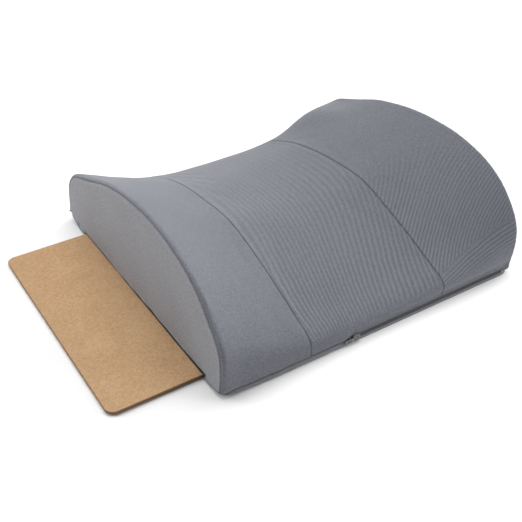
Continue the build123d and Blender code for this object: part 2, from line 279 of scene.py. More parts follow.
def run_along(grid, axis):
    """Length along the grid's lines from their start."""
    step = np.linalg.norm(np.diff(grid, axis=axis), axis=-1)
    shape = list(step.shape)
    shape[axis] = 1
    return np.concatenate([np.zeros(shape), np.cumsum(step, axis=axis)], axis)


def graded(length, step, ends=(0, 0.5, 1.0, 1.6, 2.4, 3.5, 5.0, 7.0)):
    """Places from 0 to length, close together at both ends, as shares of the length."""
    ends = np.array([e for e in ends if e < length / 3])
    count = max(2, int((length - 2 * ends[-1]) / step))
    middle = np.linspace(ends[-1], length - ends[-1], count)
    return np.r_[ends[:-1], middle, (length - ends[:-1])[::-1]] / length


def grid_faces(m, n):
    i, j = np.meshgrid(np.arange(m - 1), np.arange(n - 1), indexing="ij")
    a = (i * n + j).ravel()
    return np.stack([a, a + 1, a + n + 1, a + n], -1)


def outward(grid, faces):
    """The faces, flipped if they look toward the cushion's middle."""
    p = grid.reshape(-1, 3)
    a, b, c = (p[faces[:, k]] for k in range(3))
    inward = np.sum(np.cross(b - a, c - a) * (a - MIDDLE)) < 0
    return faces[:, ::-1] if inward else faces


def border(m, n):
    """Indices of the points round a grid's edge."""
    index = np.arange(m * n).reshape(m, n)
    return np.r_[index[:, 0], index[-1, 1:], index[-2::-1, -1], index[0, -2:0:-1]]


def band(first, second):
    """Faces between two closed rows of points."""
    return np.stack([first, second, np.roll(second, -1), np.roll(first, -1)], -1)


FULL_TURN = 6.283


def waves(a, b, size, seed):
    """A smooth, repeatable unevenness of about +-1 with features of that size."""
    total = np.zeros(np.broadcast(a, b).shape)
    draw = np.random.default_rng(seed)
    for k in range(7):
        angle, phase = draw.uniform(0, FULL_TURN), draw.uniform(0, FULL_TURN)
        scale = draw.uniform(0.6, 1.6)
        across = np.cos(angle) * a + np.sin(angle) * b
        total += np.sin(across * FULL_TURN / (size * scale) + phase)
    return total / 3.2


# -------- meshes
def add_object(name, data):
    obj = bpy.data.objects.new(name, data)
    bpy.context.scene.collection.objects.link(obj)
    return obj


def make_object(name, points, faces, uv=None, values=None):
    """A smooth mesh object from millimetre points, with cloth UVs and point attributes."""
    points = np.asarray(points, float).reshape(-1, 3)
    mesh = bpy.data.meshes.new(name)
    mesh.from_pydata((points * MM).tolist(), [], [list(map(int, f)) for f in faces])
    if uv is not None:
        layer = mesh.uv_layers.new(name="cloth")
        uv = np.asarray(uv, float).reshape(-1, 2) * MM
        index = np.zeros(len(mesh.loops), np.int32)
        mesh.loops.foreach_get("vertex_index", index)
        layer.data.foreach_set("uv", uv[index].astype(np.float32).ravel())
    for key, v in (values or {}).items():
        attribute = mesh.attributes.new(key, "FLOAT", "POINT")
        attribute.data.foreach_set("value", np.asarray(v, np.float32).ravel())
    mesh.polygons.foreach_set("use_smooth", np.ones(len(mesh.polygons), bool))
    return add_object(name, mesh)


def make_sheet(name, gx, gy, gz, thickness):
    """A nearly flat piece of cloth over a grid."""
    faces = grid_faces(*gx.shape)[:, ::-1]
    values = {"seam_gap": 20 + 0 * gx}
    obj = make_object(name, np.stack([gx, gy, gz], -1), faces, np.stack([gx, gy], -1), values)
    return thicken(obj, thickness, offset=0)


def dress(obj, body, node):
    """Says what the piece rides on and which node it replaces."""
    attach(obj, body)
    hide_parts(node)
    return obj


def sharpen(obj, degrees):
    obj.data.set_sharp_from_angle(angle=math.radians(degrees))


def settle(obj, sharp=None):
    """Applies the object's modifiers, so that its own mesh is the final one."""
    graph = bpy.context.evaluated_depsgraph_get()
    graph.update()
    done = obj.evaluated_get(graph)
    mesh = bpy.data.meshes.new_from_object(done, preserve_all_data_layers=True, depsgraph=graph)
    obj.modifiers.clear()
    obj.data = mesh
    if sharp:
        sharpen(obj, sharp)
    return obj


def thicken(obj, thickness, offset=-1.0, sharp=50):
    weld = obj.modifiers.new("weld", "WELD")
    weld.merge_threshold = 0.02 * MM
    solid = obj.modifiers.new("thickness", "SOLIDIFY")
    solid.thickness = thickness * MM
    solid.offset = offset
    return settle(obj, sharp)


# -------- cloth simulation of the filled cover
COARSE_C = np.r_[
    -3, -2.5, np.linspace(-2, -1, 17), np.linspace(-1, 1, 29)[1:], np.linspace(1, 2, 17)[1:], 2.5, 3
]
COARSE_T = np.linspace(0, 1, 84)
COARSE_ROWS = np.r_[0, np.linspace(0.08, 1, 13)]
SWELL_CAP = 0.9
SWELL_FRAMES = 20


def swell():
    """How far the coarse top and side grids move when the cover is inflated, seams held."""
    sides = [side_grid(side, COARSE_T, COARSE_ROWS) for side in (-1, 1)]
    grids = [cover_grid(COARSE_C, COARSE_T), *sides]
    faces, held, start = [], [], 0
    for kind, g in enumerate(grids):
        m, n = g.shape[:2]
        index = start + np.arange(m * n).reshape(m, n)
        seams = [0, -1] if kind else [np.argmin(abs(COARSE_C - c)) for c in (-3, -1, 1, 3)]
        held += [index[:, 0], index[:, -1]] + [index[k] for k in seams]
        faces.append(outward(g, grid_faces(m, n)) + start)
        start += m * n
    points = np.concatenate([g.reshape(-1, 3) for g in grids])
    bag = make_object("inflating", points, np.concatenate(faces))
    group = bag.vertex_groups.new(name="held")
    group.add(np.unique(np.concatenate(held)).tolist(), 1.0, "REPLACE")
    cloth = bag.modifiers.new("Cloth", "CLOTH")
    s = cloth.settings
    s.quality = 6
    s.mass = 0.2
    s.tension_stiffness = s.compression_stiffness = 25
    s.shear_stiffness = 8
    s.bending_stiffness = 0.6
    s.shrink_min = 0.0
    s.use_pressure = True
    s.uniform_pressure_force = 2.5
    s.vertex_group_mass = "held"
    s.effector_weights.gravity = 0
    scene = bpy.context.scene
    for timed in (cloth.point_cache, scene):
        timed.frame_start, timed.frame_end = 1, SWELL_FRAMES
    for number in range(1, SWELL_FRAMES + 1):
        scene.frame_set(number)
    done = bag.evaluated_get(bpy.context.evaluated_depsgraph_get()).to_mesh()
    moved = np.zeros(len(points) * 3)
    done.vertices.foreach_get("co", moved)
    moved = moved.reshape(-1, 3) / MM - points
    moved *= SWELL_CAP / (SWELL_CAP + np.linalg.norm(moved, axis=1, keepdims=True))
    scene.frame_set(1)
    bpy.data.objects.remove(bag)
    ends = np.cumsum([g.shape[0] * g.shape[1] for g in grids])[:-1]
    return [part.reshape(g.shape) for part, g in zip(np.split(moved, ends), grids)]


def resample(moved, from_a, from_b, to_a, to_b):
    """Coarse displacements at the fine grid's lines, by cubic splines."""
    first = spline(from_a, moved, to_a)
    return np.swapaxes(spline(from_b, np.swapaxes(first, 0, 1), to_b), 0, 1)


def panel_resample(moved, to_c, to_t):
    """The same for the top, panel by panel, so that the creases at the seams stay."""
    out = np.zeros((len(to_c), len(to_t), 3))
    for low, high in ((-3, -1), (-1, 1), (1, 3)):
        src = (COARSE_C >= low - 1e-6) & (COARSE_C <= high + 1e-6)
        dst = (to_c >= low - 1e-6) & (to_c <= high + 1e-6)
        out[dst] = resample(moved[src], COARSE_C[src], COARSE_T, to_c[dst], to_t)
    return out


# -------- the fine cover
FINE_T = graded(500, 2.3)
wing_c = graded(96, 2.4)
roll_c = np.array([0.12, 0.25, 0.4, 0.55, 0.7, 0.82, 0.91, 1.0])
RIGHT_C = np.r_[1 + wing_c, 2 + roll_c]
CENTRE_C = -1 + 2 * graded(164, 2.4)
FINE_C = np.r_[-RIGHT_C[::-1], CENTRE_C[1:-1], RIGHT_C]
SIDE_ROWS = np.r_[0, 0.015, 0.035, 0.07, np.linspace(0.11, 0.93, 34), 0.955, 0.975, 0.99, 1.0]


def column_at(c):
    return int(np.argmin(abs(FINE_C - c)))


def groove(d, depth=0.85, width=0.62, ridge=0.2):
    """Profile across a seam: the cloth dives in, and stands slightly proud beside it."""
    return -depth * np.exp(-(d / width) ** 2) + ridge * np.exp(-((d - 3.4) / 1.9) ** 2)


moved_top, moved_left, moved_right = swell()

top_base = cover_grid(FINE_C, FINE_T)
top_u = run_along(top_base, 0)
top_u = top_u - top_u[column_at(0)][None]
top_v = run_along(top_base, 1)
top_left = top_v[:, -1:] - top_v
crest = np.argmin(abs(top_base[..., 1]), axis=1)
top_v0 = top_v - top_v[np.arange(len(FINE_C)), crest][:, None]

top = top_base + panel_resample(moved_top, FINE_C, FINE_T)
top_n = normals_of(top)
seam_cols = [column_at(c) for c in (-3, -1, 1, 3)]
seam_gaps = [np.abs(top_u - top_u[i][None]) for i in seam_cols]
lift = np.zeros(top_u.shape)
for k, gap in enumerate(seam_gaps):
    outer = k in (0, 3)
    tuck = 1 + 0.35 * waves(top_v, 0 * top_v, 16, 20 + k)
    lift += groove(gap, depth=0.9 if outer else 0.65, ridge=0.16) * np.where(gap < 12, tuck, 1)
    lift += 0.16 * waves(top_v, gap * 0.4, 9, 30 + k) * np.exp(-(gap / 7) ** 2)
for gap in (top_v, top_left):
    lift += groove(gap, depth=1.3, width=1.3, ridge=0.5)
    lift += 0.25 * waves(top_u, gap * 0.3, 13, 41) * np.exp(-((gap - 4) / 8) ** 2)
lift += 0.28 * waves(top_u, top_v, 62, 5) * smooth(np.minimum(top_v, top_left) / 25)
top = top + top_n * lift[..., None]

# the near edge opens for the zipper chain, between the base seam's two edges
zip_share = chain_share(top[..., 0])
near = (top[..., 1] < 0) & (top_v < 60)
lip = 1.45 * np.exp(-(top_v / 6.0)) * zip_share
top[..., 2] += np.where(near, lip, 0)
hold = np.where(near, zip_share * smooth((15 - top_v) / 9), 0)
top[..., 1] += (CHAIN_Y - top[..., 1]) * hold
top[..., 2] -= seam_drop(top[..., 0], top[..., 1]) * np.exp(-(top[..., 2] - BASE_Z) / 7)
top = corner_lift(top)

seam_d = np.minimum.reduce(seam_gaps + [top_v, top_left])

# rib lines: their places as a phase, and how clear they are
CENTRE_RIBS = {
    (0, 1): -1.7, (0, 2): 1.12, (0, 3): -2.58, (0, 4): -1.28, (1, 0): 16.39, (1, 1): -0.59,
    (1, 2): 2.16, (1, 3): 0.62, (2, 0): -3.53, (2, 1): -0.58, (2, 2): -1.97, (3, 0): -3.8,
    (3, 1): -2.19, (4, 0): 5.51,
}
WING_RIBS = {
    (0, 1): -10.34, (0, 2): -11.89, (0, 3): 4.89, (1, 0): 22.33, (1, 1): -5.73, (1, 2): 1.74,
    (2, 0): 8.37, (2, 1): -6.41, (3, 0): 0.37,
}


def rib_phase(terms, across, along, limit, soft):
    """Rib count at each place: a polynomial in tenths of a metre, straight on past the limit."""
    along = limit - soft * np.log1p(np.exp((limit - along) / soft))
    return sum(k * (across / 100) ** i * (along / 100) ** j for (i, j), k in terms.items())


u_wing = top_u - top_u[column_at(1)][None]
height = top_base[..., 2]
centre_phase = rib_phase(CENTRE_RIBS, top_u, top_v0, 5.0, 10.0)
centre_clear = 0.55 + 0.45 * smooth((-top_v0 - 20) / 120)
centre_clear = centre_clear * (1 - 0.6 * smooth((top_v0 + 5) / 60)) * smooth((height - 19) / 4)
# on the right wing the lowest ribs turn and follow the base
turn = 25 + 0.38 * u_wing
low_phase = 0.1 * u_wing - 0.325 * top_v + 0.0009 * top_v ** 2
wing_phase = np.where(top_v < turn, low_phase, rib_phase(WING_RIBS, u_wing, top_v, 185.0, 8.0))
wing_clear = 1.4 * (1 - 0.75 * smooth((top_v - 75) / 110))
wing_clear = wing_clear * smooth((height - 13.5 - 0.25 * u_wing) / 4)
wing_clear = wing_clear * (1 - smooth((top_v - 140) / 55)) * (np.abs(top_v - turn) >= 1.5)


def make_panel(name, low, high, phase, clear, node):
    span = slice(column_at(low), column_at(high) + 1)
    part = top[span]
    faces = outward(part, grid_faces(*part.shape[:2]))
    uv = np.stack([top_u[span], top_v[span]], -1)
    values = {"seam_gap": seam_d[span], "rib_phase": phase[span], "rib_clear": clear[span]}
    obj = thicken(make_object(name, part, faces, uv, values), CLOTH)
    return dress(obj, "cushion", node)


plain = np.zeros(top_u.shape)
left_wing = make_panel("cover_left_wing", -3, -1, plain, plain, "left_wing_panel")
centre = make_panel("cover_centre", -1, 1, centre_phase, centre_clear, "centre_panel")
right_wing = make_panel("cover_right_wing", 1, 3, wing_phase, wing_clear, "right_wing_panel")


# -------- side panels
def make_side(name, side, moved, node):
    grid = side_grid(side, FINE_T, SIDE_ROWS)
    coarse_rows, fine_rows = (np.r_[-0.1, -0.05, 0.0, r[1:]] for r in (COARSE_ROWS, SIDE_ROWS))
    down = run_along(grid, 0)
    rest = down[-1][None] - down
    shifted = grid + resample(moved, coarse_rows, COARSE_T, fine_rows, FINE_T)
    n = np.zeros_like(grid)
    n[...] = (side, 0, 0)
    n[:3] = normals_of(grid[:4])[:3]
    y, z = grid[..., 1], grid[..., 2]
    rise = groove(down, depth=1.2, ridge=0.25)
    if side > 0:
        rise += groove(rest, depth=1.3, width=1.3, ridge=0.4)
    else:
        rise += groove(rest, depth=1.0, width=1.3, ridge=0.3) * (1 - mouth_share(y))
        rise += mouth_share(y) * (0.5 * waves(y, z, 34, 61) - 0.4) * np.exp(-(rest / 9) ** 2)
    rise += 0.4 * waves(y, z, 75, 60) * smooth(down / 25) * smooth(rest / 12)
    shifted += n * (rise * np.where(down + rest > 3, 1, (down + rest) / 3))[..., None]
    if side < 0:
        shifted = corner_lift(shifted)
    faces = outward(shifted, grid_faces(*grid.shape[:2]))
    values = {"seam_gap": np.minimum(down, rest)}
    obj = thicken(make_object(name, shifted, faces, np.stack([y, z], -1), values), CLOTH)
    return dress(obj, "cushion", node), shifted


left_side, left_side_grid = make_side("cover_left_side", -1, moved_left, "left_side_panel")
right_side, right_side_grid = make_side("cover_right_side", 1, moved_right, "right_side_panel")


# -------- back panel
def round_corner(x, y, half_x, half_y, radius):
    """A rectangular grid pulled into a rectangle with round corners."""
    dx, dy = (
        np.clip(np.abs(v) - (half - radius), 0, radius) for v, half in ((x, half_x), (y, half_y))
    )
    nx = dx * np.sqrt(1 - dy * dy / (2 * radius * radius))
    ny = dy * np.sqrt(1 - dx * dx / (2 * radius * radius))
    return x + np.sign(x) * (nx - dx), y + np.sign(y) * (ny - dy)


def split_places(half, marks, step):
    """Grid lines from -half to half, close together round each mark."""
    base = np.linspace(-half, half, int(2 * half / step))
    near = [m + o for m in marks for o in (-2.6, -1.6, -0.9, -0.4, 0, 0.4, 0.9, 1.6, 2.6)]
    keep = [b for b in base if all(abs(b - p) > 1.2 for p in near) or abs(abs(b) - half) < 1e-6]
    return np.array(sorted(keep + [p for p in near if abs(p) < half - 1]))


ROW_Y = POCKET_HALF + ROW_GAP
ROW_X = POCKET_END + ROW_GAP
IN = 3.6  # from the flat part's edge to the cushion's side
flat_x = split_places(HALF_W - IN, [ROW_X], 4.5)
flat_y = split_places(HALF_H - IN, [-ROW_Y, ROW_Y], 4.5)
# the turned-up rim, ring by ring: distance out, height, and height under the board's mouth
BACK_RIM = (
    (1.3, 0.15, 0.2), (2.6, 0.5, 0.3), (3.7, 1.2, 0.4), (4.3, 2.2, 0.5), (4.25, 3.2, 0.6),
    (3.6, 4.2, 0.7), (2.6, 4.8, 0.8),
)


def back_points():
    gx, gy = np.meshgrid(flat_x, flat_y, indexing="ij")
    px, py = round_corner(gx, gy, HALF_W - IN, HALF_H - IN, BACK_CORNER - IN)
    on_sides = np.exp(-((np.abs(gy) - ROW_Y) / 0.9) ** 2) * (gx < ROW_X)
    on_end = np.exp(-((gx - ROW_X) / 0.9) ** 2) * (np.abs(gy) < ROW_Y)
    pz = 0.32 * np.maximum(on_sides, on_end) + 0.12 + 0.05 * waves(gx, gy, 40, 77)
    flat = np.stack([px, py, pz], -1).reshape(-1, 3)
    loop = border(*gx.shape)
    rim = flat[loop]
    out = out_of(rim)
    x, y = rim[:, 0], rim[:, 1]
    mouth = np.where(x < -HALF_W + 8, mouth_share(y), 0)
    chain = np.where(y < -HALF_H + 8, chain_share(x), 0)
    # drawn in under the chain and at the corners, where the cover comes down low
    left = np.where(y < 0, 1.8, 1.2) * np.exp(-((x + HALF_W) / 30) ** 2) * (1 - mouth)
    right = np.where(y < 0, 1.3, 0) * np.exp(-((HALF_W - x) / 11) ** 2)
    tuck = 1.35 * chain + 0.5 * np.clip(seam_drop(x, y) / CORNER_DROP, 0, 1) + left + right
    seam_z = BASE_Z - np.where(mouth > 0, CORNER_DROP, seam_drop(x, y))
    points, previous = [flat], loop
    faces = [tuple(f) for f in grid_faces(*gx.shape)]  # these look down
    for k, (away, up, low) in enumerate(BACK_RIM):
        uneven = 0.25 * waves(x + y, x - y, 30, 12) * min(1, k / 3)
        high = (up + uneven * (1 - chain)) * seam_z / BASE_Z
        high = high * (1 - chain) + up * 0.48 * chain
        z = high * (1 - mouth) + low * mouth
        spread = (away - tuck * smooth((k - 1) / 3)) * (1 - mouth) + (0.6 + k * 0.4) * mouth
        points.append(np.c_[rim[:, :2] + out * (spread - 0.15)[:, None], z])
        ring = len(flat) + k * len(loop) + np.arange(len(loop))
        faces += band(previous, ring).tolist()
        previous = ring
    return corner_lift(np.concatenate(points)), faces


back_p, back_f = back_points()
back_values = {"seam_gap": np.full(len(back_p), 20.0)}
back = thicken(make_object("cover_back", back_p, back_f, back_p[:, :2], back_values), 1.0, sharp=60)
for vertex in back.data.vertices:  # nothing of it under the table's surface
    vertex.co.z = max(vertex.co.z, 0.03 * MM)
dress(back, "cushion", "back_panel")


# -------- foam core and board pocket
def make_foam():
    c = np.r_[-2, np.linspace(-1.95, 1.95, 76), 2]
    t = np.linspace(0.004, 0.996, 96)
    upper = cover_grid(c, t)
    upper = upper - normals_of(upper) * FOAM_GAP
    rough = 0.25 * waves(run_along(upper, 0), run_along(upper, 1), 9, 90)
    upper += normals_of(upper) * rough[..., None]
    upper[..., 0] = np.clip(upper[..., 0], -HALF_W + 5, HALF_W - 5)
    upper[..., 1] = np.clip(upper[..., 1], -HALF_H + 5, HALF_H - 5)
    m, n = upper.shape[:2]
    near, far = upper[:, :1, 1], upper[:, -1:, 1]
    y = near + (far - near) * np.linspace(0, 1, n)[None]
    x = np.broadcast_to(upper[:, :1, 0], y.shape)
    over_pocket = smooth((POCKET_HALF + 9 - np.abs(y)) / 3) * smooth((POCKET_END + 9 - x) / 3)
    lower = np.stack([x, y, 2.2 + (ROOF_Z + 0.6 - 2.2) * over_pocket], -1)
    upper[..., 2] = np.maximum(upper[..., 2], lower[..., 2] + 0.6)
    loop = border(m, n)
    flat = grid_faces(m, n)
    faces = [*flat[:, ::-1], *(flat + m * n), *band(loop, loop + m * n)]
    points = corner_lift(np.concatenate([upper.reshape(-1, 3), lower.reshape(-1, 3)]))
    return dress(make_object("foam_block", points, faces), "cushion", "foam_core")


foam = make_foam()


def make_pocket():
    low_x = -HALF_W + 0.05  # its near-black folded edge shows under the side panel, a dark strip that is painted shadow in the pocket's mouth
    edge = np.array([0, 0.5, 1, 1.5, 2.2])
    end = POCKET_END - 2.2 + edge
    x = np.r_[low_x, low_x + 2, np.linspace(low_x + 7, POCKET_END - 4, 60), end, POCKET_END + 5.6]
    inner = np.linspace(-POCKET_HALF + 6, POCKET_HALF - 6, 56)
    side = POCKET_HALF - 2.2 + edge
    y = np.r_[-POCKET_HALF - 5.6, -side[::-1], inner, side, POCKET_HALF + 5.6]
    gx, gy = np.meshgrid(x, y, indexing="ij")
    back_off = smooth((np.maximum(gy - BOARD_HIGH[1], BOARD_LOW[1] - gy) + 1) / 4)
    gx = np.where(gx < -HALF_W + 3, gx + 2.6 * back_off, gx)
    inside = smooth((POCKET_HALF - np.abs(gy)) / 1.6) * smooth((POCKET_END - gx) / 1.6)
    ripple = 0.12 * waves(gx, gy, 30, 15) * inside
    droop = 0.62 * np.exp(-(gx + HALF_W) / 6)  # it hangs to just above the board in the mouth, where its dark cloth shows as painted shadow in the gap
    gz = 1.75 + (ROOF_Z - 0.35 - 1.75 - droop) * inside
    gz = gz + ripple * np.clip((gx + HALF_W) / 20, 0, 1)
    obj = make_sheet("pocket_sleeve", gx, gy, gz, 0.5)
    return dress(obj, "cushion", "pocket_lining")


pocket = make_pocket()


# -------- hardboard
def make_board():
    centre, half = (BOARD_LOW + BOARD_HIGH) / 2, (BOARD_HIGH - BOARD_LOW) / 2
    corners = round_rect(-half[0], half[0], -half[1], half[1], (BOARD_CORNER,) * 4, 15)
    closed = np.array(corners[15:] + corners[:16])
    run = run_of(closed)
    even = np.linspace(0, run[-1], 720, endpoint=False)
    line = np.stack([np.interp(even, run, closed[:, k]) for k in (0, 1)], -1)
    out = out_of(line)
    top_z, low_z = half[2], -half[2]
    rough = 0.06 * waves(even, 0 * even, 5, 3) + 0.05 * waves(even, 0 * even, 1.9, 4)
    rings, edges = [], []
    for away, z, fray, edge in (
        (-6, top_z, 0, 0), (-1.2, top_z, 0, 0), (-0.5, top_z - 0.06, 0.3, 0.5),
        (-0.14, top_z - 0.3, 1, 1), (-0.06, top_z - 0.8, 1, 1), (-0.05, 0.2, 1.3, 1),
        (-0.05, -0.6, 1.2, 1), (-0.08, low_z + 0.5, 1, 1), (-0.2, low_z + 0.2, 1, 1),
        (-0.6, low_z + 0.03, 0.3, 0.5), (-6, low_z, 0, 0),
    ):
        shift = away - abs(rough) * fray
        rings.append(np.c_[line + out * shift[:, None], np.full(len(line), z)])
        edges.append(np.full(len(line), edge))
    rows = np.arange(len(rings) * len(line)).reshape(len(rings), -1)
    faces = [face for a, b in zip(rows, rows[1:]) for face in band(a, b)]
    faces += [rows[0], rows[-1][::-1]]
    points = np.concatenate(rings) + centre
    obj = make_object("board", points, faces, points[:, :2], {"edge": np.concatenate(edges)})
    sharpen(obj, 50)
    return dress(obj, "board", "board_insert")


board = make_board()


# -------- threads
def sweep(line, size, aside, sides=6):
    """A round thread along a line, closed at its ends. The directions aside lie off the line."""
    ahead = unit(np.gradient(line, axis=0))
    a = unit(np.cross(ahead, aside))
    b = np.cross(ahead, a)
    turn = np.linspace(0, 2 * np.pi, sides, endpoint=False)[None, :, None]
    ring = line[:, None] + size * (a[:, None] * np.cos(turn) + b[:, None] * np.sin(turn))
    rows = np.arange(len(line) * sides).reshape(-1, sides)
    ahead_of = np.roll(rows, -1, 1)
    faces = np.stack([rows[:-1], ahead_of[:-1], ahead_of[1:], rows[1:]], -1)
    return ring.reshape(-1, 3), [*faces.reshape(-1, 4), rows[0][::-1], rows[-1]]


def tubes(paths, radius):
    """One mesh for many short round threads. Each path is (k, 3)."""
    points, faces, start = [], [], 0
    for path in paths:
        size = np.full((len(path), 1, 1), radius)
        size[0] = size[-1] = radius * 0.55
        ring, new = sweep(path, size, (0.31, 0.17, 0.93))
        points.append(ring)
        faces += [start + face for face in new]
        start += len(ring)
    return np.concatenate(points), faces


def stitches_along(line, normal, pitch=3.2, length=2.5, rise=0.35, dip=0.45):
    """Stitch paths along a line: each stands up in its middle and dips in at its ends."""
    run, normal = run_along(line, 0), np.broadcast_to(normal, line.shape)
    paths = []
    for k in range(int(run[-1] / pitch) - 1):
        at = (k + 0.8) * pitch + np.linspace(-0.5, 0.5, 5) * length
        p, n = (
            np.stack([np.interp(at, run, v[:, i]) for i in range(3)], -1) for v in (line, normal)
        )
        bow = rise - dip * (np.linspace(-1, 1, 5) ** 4)
        paths.append(p + n * bow[:, None])
    return paths


threads = []


def sew(name, paths, node, radius=0.26):
    obj = make_object("stitches_" + name, *tubes(paths, radius))
    threads.append(dress(obj, "cushion", node))


for place, c in zip(
    ("left_panel_seam", "right_panel_seam", "left_side_seam", "right_side_seam"), (-1, 1, -3, 3)
):
    seam = column_at(c)
    paths = stitches_along(top[seam][2:-2], top_n[seam][2:-2])
    sew(place, paths, place + "_thread")


def base_stitches():
    paths = []
    for j in (0, -1):
        line = top[:, j] - [0, 0, 0.1]
        normal = unit(top_n[:, j] * [1, 1, 0])
        keep = (line[:, 0] < ZIP_LOW[0] - 5) | (j != 0)
        paths += stitches_along(line[keep], normal[keep], rise=0.2)
    right = right_side_grid[-1] - [0, 0, 0.1]
    paths += stitches_along(right, (1.0, 0, 0), rise=0.2)
    left = left_side_grid[-1]
    for low, high in ((-400, -POCKET_HALF - 4), (POCKET_HALF + 4, 400)):
        keep = (left[:, 1] > low) & (left[:, 1] < high)
        paths += stitches_along(left[keep], (-1.0, 0, 0), rise=0.2)
    return paths


sew("base_seam", base_stitches(), "base_seam_thread")

pocket_rows = []
row_corners = ((-HALF_W + 5, -ROW_Y), (ROW_X, -ROW_Y), (ROW_X, ROW_Y), (-HALF_W + 5, ROW_Y))
for z, up in ((0.30, -1.0), (2.05, 1.0)):
    for start, end in zip(row_corners, row_corners[1:]):
        line = np.linspace((*start, z), (*end, z), 60)
        pocket_rows += stitches_along(line, (0, 0, up), 3.6, 3.0, rise=0.12, dip=0.35)
sew("pocket", pocket_rows, "pocket_seam_thread", 0.22)

left_low = left_side_grid[-1]
inside = np.abs(left_low[:, 1]) < POCKET_HALF - 2
hem = stitches_along(left_low[inside] + [1.9, 0, 4.5], (1.0, 0, 0), rise=0.0, dip=0.2)
for y0 in (-POCKET_HALF - 2, POCKET_HALF + 2):  # a bar tack at each end of the mouth
    near_x = np.interp(y0, left_side_grid[-4][:, 1], left_side_grid[-4][:, 0])
    for z in 5.9 + 0.42 * np.arange(TACK_STITCHES):
        hem.append(np.array([
            (near_x - 0.15 - 0.12 * (i in (1, 2)), y0 - 0.9 + 0.6 * i, z + 0.1 * (i % 2))
            for i in range(4)
        ]))
sew("pocket_mouth", hem, "slot_hem_thread", 0.2)

cols = [i for i in range(len(FINE_C)) if ZIP_LOW[0] < top[i, 0, 0] < ZIP_HIGH[0]]
rows = [int(np.argmin(abs(top[i, :40, 2] - (ZIP_Z + 5.2)))) for i in cols]
zip_stitches = stitches_along(top[cols, rows], top_n[cols, rows], 3.0, 2.4, rise=0.1, dip=0.3)
sew("zipper", zip_stitches, "zipper_tape_thread", 0.2)


# -------- zipper
def make_coil(name, z_mid, phase, node):
    pitch, wire, turn_points = 1.6, 0.28, 12
    reach_z, reach_y = 0.77, 0.42
    turns = int((ZIP_HIGH[0] - ZIP_LOW[0] - 1.2) / pitch)
    angle = np.linspace(0, 2 * np.pi * turns, turns * turn_points + 1)
    line = np.stack([
        ZIP_LOW[0] + 0.6 + phase * pitch + angle * pitch / (2 * np.pi),
        CHAIN_Y + reach_y * np.sin(angle),
        z_mid + reach_z * np.cos(angle),
    ], -1)
    line = line[line[:, 0] < ZIP_HIGH[0] - 0.3]
    out = (line - [0, CHAIN_Y, z_mid]) * [0, 1, 1]
    obj = make_object(name, *sweep(line, wire, out))
    return dress(obj, "cushion", node)


coils = [
    make_coil("zipper_coil_upper", ZIP_Z + 0.95, 0.0, "zipper_upper_coil"),
    make_coil("zipper_coil_lower", ZIP_Z - 0.95, 0.5, "zipper_lower_coil"),
]


def flat_part(name, outlines, y_low, y_high, bevel):
    """A flat metal part in the XZ plane: an outline, then its holes, with rounded edges."""
    curve = bpy.data.curves.new(name, "CURVE")
    curve.dimensions = "2D"
    curve.fill_mode = "BOTH"
    curve.extrude = ((y_high - y_low) / 2 - bevel) * MM
    curve.bevel_depth = bevel * MM
    curve.bevel_resolution = 3
    curve.offset = -bevel * MM
    for outline in outlines:
        poly = curve.splines.new("POLY")
        poly.points.add(len(outline) - 1)
        for point, (x, z) in zip(poly.points, outline):
            point.co = (x * MM, z * MM, 0, 1)
        poly.use_cyclic_u = True
    temp = add_object(name + "_outline", curve)
    graph = bpy.context.evaluated_depsgraph_get()
    mesh = bpy.data.meshes.new_from_object(temp.evaluated_get(graph))
    bpy.data.objects.remove(temp)
    mid_y = (y_low + y_high) / 2 * MM
    mesh.transform(Matrix(((1, 0, 0, 0), (0, 0, -1, mid_y), (0, 1, 0, 0), (0, 0, 0, 1))))
    mesh.name = name
    return add_object(name, mesh)


def join(name, parts):
    """One mesh object out of several."""
    verts, faces, start = [], [], 0
    for part in parts:
        co = np.zeros(len(part.data.vertices) * 3)
        part.data.vertices.foreach_get("co", co)
        verts.append(co.reshape(-1, 3))
        faces += [[start + v for v in p.vertices] for p in part.data.polygons]
        start += len(part.data.vertices)
        bpy.data.objects.remove(part)
    return make_object(name, np.concatenate(verts) / MM, faces)


def make_slider():
    low, high = SLIDER_LOW, SLIDER_HIGH
    face = -HALF_H - 0.3
    plate_out = face - 1.3
    outline = round_rect(low[0], high[0], low[2], high[2], (2.0, 1.4, 1.4, 2.0))
    body = flat_part("slider_body", [outline], plate_out + 0.02, face, 0.4)
    lips = []
    for k, z in enumerate((low[2] + 0.01, high[2] - 0.59)):
        outline = round_rect(low[0] + 1.6, high[0] - 1.6, z, z + 0.58, (0.2,) * 4, 4)
        lips.append(flat_part(f"slider_lip_{k}", [outline], face - 0.25, face + 0.88, 0.12))
    mid = (low[0] + high[0]) / 2
    arc = np.linspace(0, np.pi, 13)
    outer = [(mid - 2.5 * np.cos(a), plate_out + 0.3 - 2.05 * np.sin(a) ** 0.7) for a in arc]
    inner = [(mid - 1.55 * np.cos(a), plate_out + 0.3 - 1.42 * np.sin(a) ** 0.8) for a in arc]
    points = [(x, y, ZIP_Z + z) for z in (-0.78, 0.78) for x, y in outer + inner]
    rows = np.arange(len(points)).reshape(4, -1)
    faces = [rows[[0, 1, 3, 2], 0], rows[[0, 2, 3, 1], -1]]
    for a, b in ((0, 1), (3, 2), (2, 0), (1, 3)):
        faces += list(np.stack([rows[a][:-1], rows[a][1:], rows[b][1:], rows[b][:-1]], -1))
    bridge = make_object("slider_bridge", points, faces)
    bevel = bridge.modifiers.new("round", "BEVEL")
    bevel.width, bevel.segments, bevel.limit_method = 0.16 * MM, 2, "ANGLE"
    settle(bridge)
    obj = join("zipper_slider_body", [body, *lips, bridge])
    sharpen(obj, 40)
    return dress(obj, "slider", "zipper_slider")


